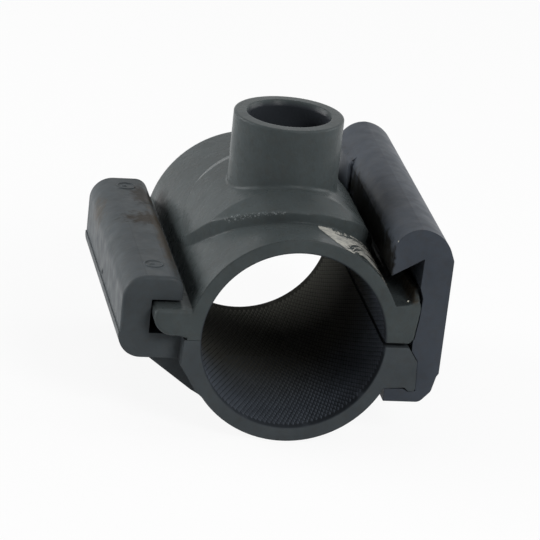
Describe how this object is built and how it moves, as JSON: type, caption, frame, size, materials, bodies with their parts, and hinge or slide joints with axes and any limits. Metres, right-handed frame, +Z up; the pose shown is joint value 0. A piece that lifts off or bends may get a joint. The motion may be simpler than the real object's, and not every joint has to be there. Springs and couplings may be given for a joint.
{
  "type": "tapping saddle",
  "caption": "Hinged clamp-on pipe saddle with an upright solvent-weld branch socket, closed along one side by a sliding C-section locking clip.",
  "frame": {"origin": "where the axis of the branch crosses the axis of the clamped pipe", "axes": "+Y along the pipe towards the end the locking clip comes off, +Z up along the branch, +X towards the locking clip"},
  "size_m": [0.1064, 0.1089, 0.0967],
  "materials": {
    "upper_shell": "satin moulded dark grey PVC",
    "lower_shell": "satin moulded dark grey PVC",
    "clip": "satin moulded dark grey PVC",
    "seal": "moulded black rubber"
  },
  "bodies": {
    "saddle": {"upper_half": "upper_shell", "lower_half": "lower_shell", "seal_ring": "seal"},
    "clip": {"locking_clip": "clip"}
  },
  "joints": [
    {"name": "clip_slide", "type": "slide", "parent": "saddle", "child": "clip", "axis": [0, 1, 0], "range_m": [0, 0.112]}
  ]
}
